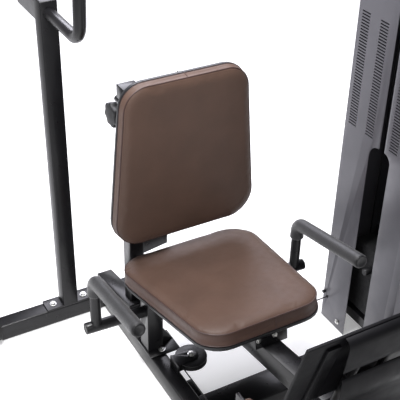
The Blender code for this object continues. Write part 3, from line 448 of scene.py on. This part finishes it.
def seam(name, pad, points, radius, body, count=24):
    """A seam across the pad's side, as a low ridge on its surface."""
    line = []
    for i in range(count + 1):
        t = i / count * (len(points) - 1)
        k = min(int(t), len(points) - 2)
        line.append(Vector(points[k]).lerp(Vector(points[k + 1]), t - k))
    ridge = tube(snapped(tree_of(pad), line, radius * 0.1), radius, 8)
    return new_piece(name, ridge, "piping", body)


def stitches(name, pad, place, size, inset, height, body, length=0.0042, gap=0.0028, thick=0.00045):
    """A row of sewn stitches that follows an outline over the pad."""
    ring = [place @ Vector((p.x, p.y, height)) for p in outline(*size, inset=inset, steps=16, fill=40)]
    tree = tree_of(pad)
    bm = bmesh.new()
    left = 0.0
    for a, b in zip(ring, ring[1:] + ring[:1]):
        span = (b - a).length
        while left < span:
            middle = a.lerp(b, left / span)
            along = (b - a).normalized() * length / 2
            line = snapped(tree, [middle - along, middle, middle + along], 0.0002)
            line[1] += (line[1] - (line[0] + line[2]) / 2) * 0.5
            across = along.normalized()
            side = across.orthogonal().normalized()
            up = across.cross(side)
            rings = [[point + (side * math.cos(t) + up * math.sin(t)) * thick * scale for t in turns(6)]
                     for point, scale in zip(line, (0.5, 1.0, 0.5))]
            loft(rings, bm)
            left += length + gap
        left -= span
    return new_piece(name, bm, "thread", body)


# ---- small hardware

def hex_bolt(name, at, axis, body, radius=0.0085, washer=0.0135, head=0.0065, turn=0.0):
    """Hexagon head with chamfered corners on a flat washer."""
    place = Matrix.Translation(at) @ basis(axis) @ Matrix.Rotation(turn, 4, "Z")
    disc = lathe([(washer - 0.0008, -0.0002), (washer, 0.0004), (washer, 0.0014), (washer - 0.0006, 0.0020),
                  (0.004, 0.0020)], at, axis, 28)
    rings = []
    for scale, height, rounding in ((1.0, 0.0018, 0.0), (1.0, head * 0.80, 0.0), (0.965, head * 0.92, 0.4),
                                    (0.86, head, 1.0), (0.30, head + 0.0002, 1.0)):
        ring = []
        for t in turns(24):
            flat = math.cos(math.pi / 6) / math.cos((t % (math.pi / 3)) - math.pi / 6)
            r = radius * scale * (flat * (1 - rounding) + rounding * 0.93)
            ring.append(place @ Vector((r * math.cos(t), r * math.sin(t), height)))
        rings.append(ring)
    return new_piece(name, joined([disc, loft(rings)]), "zinc_steel", body, sharp=28)


def cap(name, at, axis, radius, depth):
    """Moulded plastic end cap on the frame, with a rounded rim and a shallow dish."""
    floor = depth - 0.0015
    profile = [(radius * 0.96, -0.0005), (radius, 0.0012), (radius, depth * 0.65),
               (radius * 0.95, depth * 0.92), (radius * 0.88, depth), (radius * 0.72, depth),
               (radius * 0.66, floor), (0.002, floor)]
    return new_piece(name, lathe(profile, at, axis, 36), "black_plastic", "frame", sharp=50)


def tube_cap(name, at, axis, across, high):
    """Moulded insert that closes a square frame tube, with a raised middle."""
    turn = basis(axis)
    place = Matrix.Translation(at) @ turn
    upright = abs((turn.to_3x3() @ Vector((1, 0, 0))).z) > 0.5
    half_x, half_y = (high / 2, across / 2) if upright else (across / 2, high / 2)
    rings = []
    for inset, height in ((0.0, 0.0), (0.0, 0.0022), (0.0012, 0.0034), (0.006, 0.0034), (0.0075, 0.0046),
                          (0.012, 0.0046)):
        a, b, r = half_x - inset, half_y - inset, max(0.006 - inset * 0.3, 0.002)
        ring = []
        for cx, cy, first in ((a - r, b - r, 0), (-a + r, b - r, 90), (-a + r, -b + r, 180),
                              (a - r, -b + r, 270)):
            for k in range(5):
                t = math.radians(first + 22.5 * k)
                ring.append(place @ Vector((cx + r * math.cos(t), cy + r * math.sin(t), height)))
        rings.append(ring)
    return new_piece(name, loft(rings), "black_plastic", "frame", sharp=35)


# ---- carried-over nodes

BEVELS = {"frame_paint": 0.0022, "casing_paint": 0.0006, "weight_iron": 0.0012, "black_plastic": 0.0010,
          "zinc_steel": 0.0006, "rubber": 0.0015}
THIN_BEVEL = 0.0004
THIN = ("front_plate", "upper_front_cover", "lower_front_cover", "tower_outer_cover", "seat_shell",
        "back_shell", "pull_cable", "left_upright", "pulley_fork", "back_slide_carriage")
OTHER_FINISH = {"front_plate": "cover_paint", "upper_front_cover": "cover_paint",
                "lower_front_cover": "cover_paint", "plate_strut_left": "cover_paint",
                "plate_strut_right": "cover_paint", "selector_pin": "black_plastic"}


def smoothing_group():
    """Geometry nodes that shade smooth, except across edges steeper than 38 degrees."""
    group = bpy.data.node_groups.new("shade_by_angle", "GeometryNodeTree")
    group.interface.new_socket("Geometry", in_out="INPUT", socket_type="NodeSocketGeometry")
    group.interface.new_socket("Geometry", in_out="OUTPUT", socket_type="NodeSocketGeometry")
    start, end = group.nodes.new("NodeGroupInput"), group.nodes.new("NodeGroupOutput")
    faces, edges = (group.nodes.new("GeometryNodeSetShadeSmooth") for _ in range(2))
    edges.domain = "EDGE"
    edges.inputs["Shade Smooth"].default_value = False
    angle = group.nodes.new("GeometryNodeInputMeshEdgeAngle")
    steep = group.nodes.new("FunctionNodeCompare")
    steep.inputs[1].default_value = math.radians(38)
    group.links.new(start.outputs[0], faces.inputs["Geometry"])
    group.links.new(faces.outputs[0], edges.inputs["Geometry"])
    group.links.new(angle.outputs["Unsigned Angle"], steep.inputs[0])
    group.links.new(steep.outputs[0], edges.inputs["Selection"])
    group.links.new(edges.outputs[0], end.inputs[0])
    return group


def finish_nodes():
    """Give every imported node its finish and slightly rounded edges; its own mesh stays as it is."""
    group = smoothing_group()
    for name, node in NODES.items():
        packed = node.data.materials[0].name.split(".")[0] if node.data.materials else "frame_paint"
        node.data.materials.clear()
        node.data.materials.append(FINISH.get(OTHER_FINISH.get(name, packed), FINISH["frame_paint"]))
        normals = node.data.attributes.get("custom_normal")
        if normals:
            node.data.attributes.remove(normals)
        node.modifiers.new("Weld", "WELD").merge_threshold = 0.00001
        width = THIN_BEVEL if name in THIN else BEVELS.get(packed, 0.0)
        if width:
            bevel = node.modifiers.new("Bevel", "BEVEL")
            bevel.width, bevel.segments, bevel.limit_method = width, 2, "ANGLE"
            bevel.angle_limit = math.radians(40)
        node.modifiers.new("Smooth", "NODES").node_group = group
    bpy.context.view_layer.update()


def vented(node, bands):
    """The casing sheet with its rows of vent slots cut right through."""
    evaluated = NODES[node].evaluated_get(bpy.context.evaluated_depsgraph_get())
    mesh = bpy.data.meshes.new_from_object(evaluated)
    piece = bpy.data.objects.new(f"{node}_vented", mesh)
    SCENE.collection.objects.link(piece)
    slots = bmesh.new()
    pitch = (VENT_HIGH - VENT_LOW) / VENT_COUNT
    for y_lo, y_hi in bands:
        for i in range(VENT_COUNT):
            middle = Vector((TOWER_X + 0.001, (y_lo + y_hi) / 2, VENT_LOW + pitch * (i + 0.5)))
            size = Matrix.Diagonal((0.012, y_hi - y_lo, pitch * VENT_OPEN, 1))
            bmesh.ops.create_cube(slots, size=1.0, matrix=Matrix.Translation(middle) @ size)
    cutter_mesh = bpy.data.meshes.new("slots")
    slots.to_mesh(cutter_mesh)
    slots.free()
    cutter = bpy.data.objects.new("slots", cutter_mesh)
    SCENE.collection.objects.link(cutter)
    cutting = piece.modifiers.new("Slots", "BOOLEAN")
    cutting.operation, cutting.object, cutting.solver = "DIFFERENCE", cutter, "EXACT"
    bpy.context.view_layer.update()
    applied(piece)
    bpy.data.objects.remove(cutter)
    piece.data.materials.clear()
    piece.data.materials.append(FINISH["casing_paint"])
    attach(piece, "frame")
    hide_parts(node)


# ---- camera, lights and floor

def place_camera():
    data = bpy.data.cameras.new("camera")
    data.sensor_width, data.lens = 36.0, 81.53
    camera = bpy.data.objects.new("camera", data)
    camera.location = (-1.2823, -1.8860, 2.3831)
    camera.rotation_euler = [math.radians(a) for a in (56.136, -1.219, -29.183)]
    SCENE.collection.objects.link(camera)
    SCENE.camera = camera


def area(name, at, to, size, power, colour=(1, 1, 1)):
    """Square light of size metres and power watts, hidden from the camera."""
    data = bpy.data.lights.new(name, "AREA")
    data.shape, data.size, data.energy, data.color = "SQUARE", size, power, colour
    lamp = bpy.data.objects.new(name, data)
    lamp.location = at
    lamp.rotation_euler = (Vector(to) - Vector(at)).to_track_quat("-Z", "Y").to_euler()
    lamp.visible_camera = False
    SCENE.collection.objects.link(lamp)


def studio():
    world = bpy.data.worlds.new("studio")
    world.use_nodes = True
    sky = world.node_tree.nodes["Background"]
    sky.inputs["Color"].default_value = (0.95, 0.95, 1.0, 1)
    sky.inputs["Strength"].default_value = 0.28
    SCENE.world = world
    SCENE.view_settings.view_transform = "Standard"
    area("overhead", (-0.3, 0.9, 3.6), (0, 0.1, 0.3), 2.4, 108, (0.98, 0.97, 1.0))
    area("left_softbox", (-2.6, 1.9, 2.5), (0.3, 0.2, 0.9), 1.6, 12, (0.96, 0.95, 1.0))
    area("front_softbox", (-1.6, -3.0, 2.3), (0, 0.3, 0.8), 1.8, 55)
    area("back_top_softbox", (0.85, 3.05, 2.75), (-0.2, 0.4, 0.2), 2.3, 110, (0.91, 0.90, 1.0))
    area("casing_light", (-0.75, 0.15, 2.55), (0.53, 0.1, 1.50), 0.6, 50)
    bm = bmesh.new()
    bmesh.ops.create_grid(bm, x_segments=2, y_segments=2, size=30)
    bmesh.ops.translate(bm, verts=bm.verts, vec=(0, 0, CAD_LO.z - 0.0005))
    FINISH["floor"] = surface("floor_pale", (0.86, 0.86, 0.86), 0.75, vary=0.01, vary_scale=2,
                              grains=(("noise", 200, 0.05, 0.0005),))
    glow = FINISH["floor"].node_tree.nodes["Principled BSDF"]
    glow.inputs["Emission Color"].default_value = (1, 1, 1, 1)
    glow.inputs["Emission Strength"].default_value = 0.32
    floor = new_piece("floor", bm, "floor", smooth=False)


# ---- pieces

def sewn(part, edge, pad, body, place, size, low, face):
    """A pad's two welts, and the stitches on its face; face gives the heights of welt and stitches."""
    piping(f"{part}_{edge[0]}_welt", pad, place, size, 0.0035, face[0], 0.0026, body, 0.0003)
    piping(f"{part}_{edge[1]}_welt", pad, place, size, 0.002, low + 0.003, 0.0017, body, 0.0002)
    stitches(f"{part}_{edge[0]}_stitches", pad, place, size, 0.012, face[1], body)


def seat_and_back():
    low = SEAT_LOW
    levels = [(0.005, low), (0.003, low + 0.006), (0.0025, low + 0.024), (0.0025, low + 0.042),
              (0.005, low + 0.048), (0.012, low + 0.0505), (0.040, low + 0.0535), (0.085, low + 0.0555),
              (0.15, low + 0.0560)]
    seat = cushion("seat_cushion", "seat_pad", "frame", SEAT_PLACE, SEAT_SIZE, levels, PAD_SWELL, low)
    sewn("seat", ("top", "lower"), seat, "frame", SEAT_PLACE, SEAT_SIZE, low, (low + 0.0475, low + 0.052))
    # the seat's upright side faces take the darker leather copy: painted shade on the sides
    seat.data.materials.append(FINISH["boxing"])
    up = (SEAT_PLACE.to_3x3() @ Vector((0, 0, 1))).normalized()
    for face in seat.data.polygons:
        if abs(face.normal.dot(up)) < 0.45:
            face.material_index = 1
    line = [SEAT_PLACE @ Vector((0.022, 0.0, low + h)) for h in (0.003, 0.024, 0.046)]
    seam("seat_front_seam", seat, line, 0.0016, "frame")
    low = -BACK_THICK
    levels = [(0.004, low), (0.002, low + 0.006), (0.002, low + 0.018), (0.002, -0.013), (0.005, -0.0075),
              (0.012, -0.0050), (0.040, -0.0025), (0.085, -0.001), (0.15, -0.0005)]
    back = cushion("back_cushion", "back_pad", "backrest", BACK_PLACE, BACK_SIZE, levels, PAD_SWELL, low)
    sewn("back", ("face", "rear"), back, "backrest", BACK_PLACE, BACK_SIZE, low, (-0.009, -0.003))
    line = [BACK_PLACE @ Vector((0.0, BACK_SIZE[2], -h)) for h in (0.010, 0.024, 0.037)]
    seam("back_top_seam", back, line, 0.0016, "backrest")


def leg_cushions():
    for side, s, body in (("right", -1, "right_lever"), ("left", 1, "left_lever")):
        lo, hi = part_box(f"{side}_leg_pad")
        face = hi.x if s > 0 else lo.x
        place = Matrix.Translation(Vector((face, (lo.y + hi.y) / 2, lo.z))) @ Matrix(
            ((0, 0, -s, 0), (1, 0, 0, 0), (0, 1, 0, 0), (0, 0, 0, 1)))
        half = (hi.y - lo.y) / 2
        size = (half, half, hi.z - lo.z, (LEG_CORNER, LEG_CORNER))
        levels = [(0.004, 0.0003), (0.003, 0.006), (0.002, 0.030), (0.006, 0.038), (0.016, 0.042),
                  (0.03, 0.0435)]
        pad = cushion(f"{side}_leg_cushion", f"{side}_leg_pad", body, place, size, levels, LEG_PAD_SWELL,
                      0.0, 0.02)
        piping(f"{side}_leg_welt", pad, place, size, 0.003, 0.036, 0.0016, body, -0.0002)


def grip_path(s):
    """Centre line of a grip before the handles' turn: up from its foot, round a bend and forward."""
    foot = Vector((s * HANDLE_X, HANDLE_Y, GRIP_FOOT_Z))
    corner = Vector((s * HANDLE_X, HANDLE_Y, BEND_Z))
    tip = Vector((s * HANDLE_X, HANDLE_Y - GRIP_REACH, BEND_Z + GRIP_REACH * math.tan(GRIP_RISE)))
    up, along = Vector((0, 0, 1)), (tip - corner).normalized()
    angle = up.angle(along)
    start = corner - up * (BEND_R * math.tan(angle / 2))
    towards = (along - up * along.dot(up)).normalized()
    path = [foot + (start - foot) * i / 6 for i in range(6)]
    for i in range(13):
        t = angle * i / 12
        path.append(start + up * BEND_R * math.sin(t) + towards * BEND_R * (1 - math.cos(t)))
    end = path[-1]
    return path + [end.lerp(tip, i / 24) for i in range(1, 25)] + [tip + along * 0.0045]


def grips():
    """Foam sleeves with a flared start and flat caps, and the caps of the tube between them."""
    for side, s in (("right", -1), ("left", 1)):
        path = grip_path(s)
        radii = []
        total = 0.0
        for i, point in enumerate(path):
            total += (point - path[i - 1]).length if i else 0.0
            flare = 0.0022 * math.exp(-total / 0.010)
            radii.append(GRIP_R - 0.0004 + flare)
        radii[0] = GRIP_R - 0.002
        radii[-1] = GRIP_R - 0.0022
        points = [HANDLE_TURN @ p for p in path]
        sleeve = new_piece(f"{side}_foam_grip", tube(points, radii, 28), "grip_foam", "frame",
                           sharp=50)
        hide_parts(f"{side}_grip")
        direction = (points[-1] - points[-2]).normalized()
        cap(f"{side}_grip_cap", points[-1] - direction * 0.001, direction, GRIP_R - 0.0035, 0.004)
        end = HANDLE_TURN @ Vector((s * CROSS_HALF, HANDLE_Y, HANDLE_Z))
        outward = (HANDLE_TURN.to_3x3() @ Vector((s, 0, 0))).normalized()
        cap(f"{side}_cross_tube_cap", end - outward * 0.004, outward, CROSS_CAP_R, 0.007)


def rear_foot_rim():
    """Bright rim round the outer face of the rear tube's round foot."""
    lo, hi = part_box("rear_base_foot")
    centre = (lo + hi) / 2
    radius = (hi.z - lo.z) / 2 - 0.004
    ring = [Vector((lo.x + 0.002, centre.y + math.cos(t) * radius, centre.z + math.sin(t) * radius))
            for t in turns(48)]
    new_piece("rear_foot_rim", tube(ring, 0.0022, 8, closed=True), "zinc_steel", "frame")


def hardware():
    up, face_out = (0, 0, 1), (-1, 0, 0)
    slope = SEAT_FRAME.to_3x3() @ Vector((0, -1, 0))
    for i, x in enumerate((-0.048, 0.012)):
        at = SEAT_FRAME @ Vector((x, -0.0300, -0.0095))
        hex_bolt(f"seat_bolt_{i}", at, slope, "frame", radius=0.0062, washer=0.0090, turn=i * 0.3)
    foot_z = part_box("base_rail")[1].z + 0.0085
    hex_bolt("post_foot_bolt", Vector((RAIL_X + 0.020, 0.293, foot_z)), up, "frame", turn=0.2)
    hex_bolt("post_foot_bolt_outer", Vector((RAIL_X + 0.068, 0.350, foot_z)), up, "frame", turn=0.5)
    hex_bolt("tower_panel_bolt", (TOWER_X - 0.0002, 0.158, 0.034), face_out, "frame", radius=0.0065,
             washer=0.0105, turn=0.4)
    for side, s in (("right", -1), ("left", 1)):
        tube_cap(f"front_base_cap_{side}", Vector((s * 0.3004, -0.6503, 0.0375)), (s, 0, 0), 0.056, 0.068)
    arm_lo, arm_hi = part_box("left_upright")
    arm_end = Vector(((arm_lo.x + arm_hi.x) / 2, arm_hi.y + 0.0004, 1.265))
    tube_cap("upright_arm_cap", arm_end, (0, 1, 0), 0.050, 0.054)
    nub = [(0.006, 0.0), (0.0070, 0.002), (0.0070, 0.006), (0.0060, 0.0085), (0.002, 0.009)]
    new_piece("tower_side_knob", lathe(nub, (TOWER_X - 0.0003, 0.253, 0.120), face_out, 24), "black_plastic",
              "frame", sharp=50)
    rear_foot_rim()
    hex_bolt("back_top_bolt", (-0.021, 0.4700, 1.0925), up, "backrest", radius=0.006, washer=0.0085,
             head=0.005)


finish_nodes()
place_camera()
studio()
for sheet, bands in VENT_BANDS.items():
    vented(sheet, bands)
seat_and_back()
leg_cushions()
grips()
hardware()

bpy.context.view_layer.update()
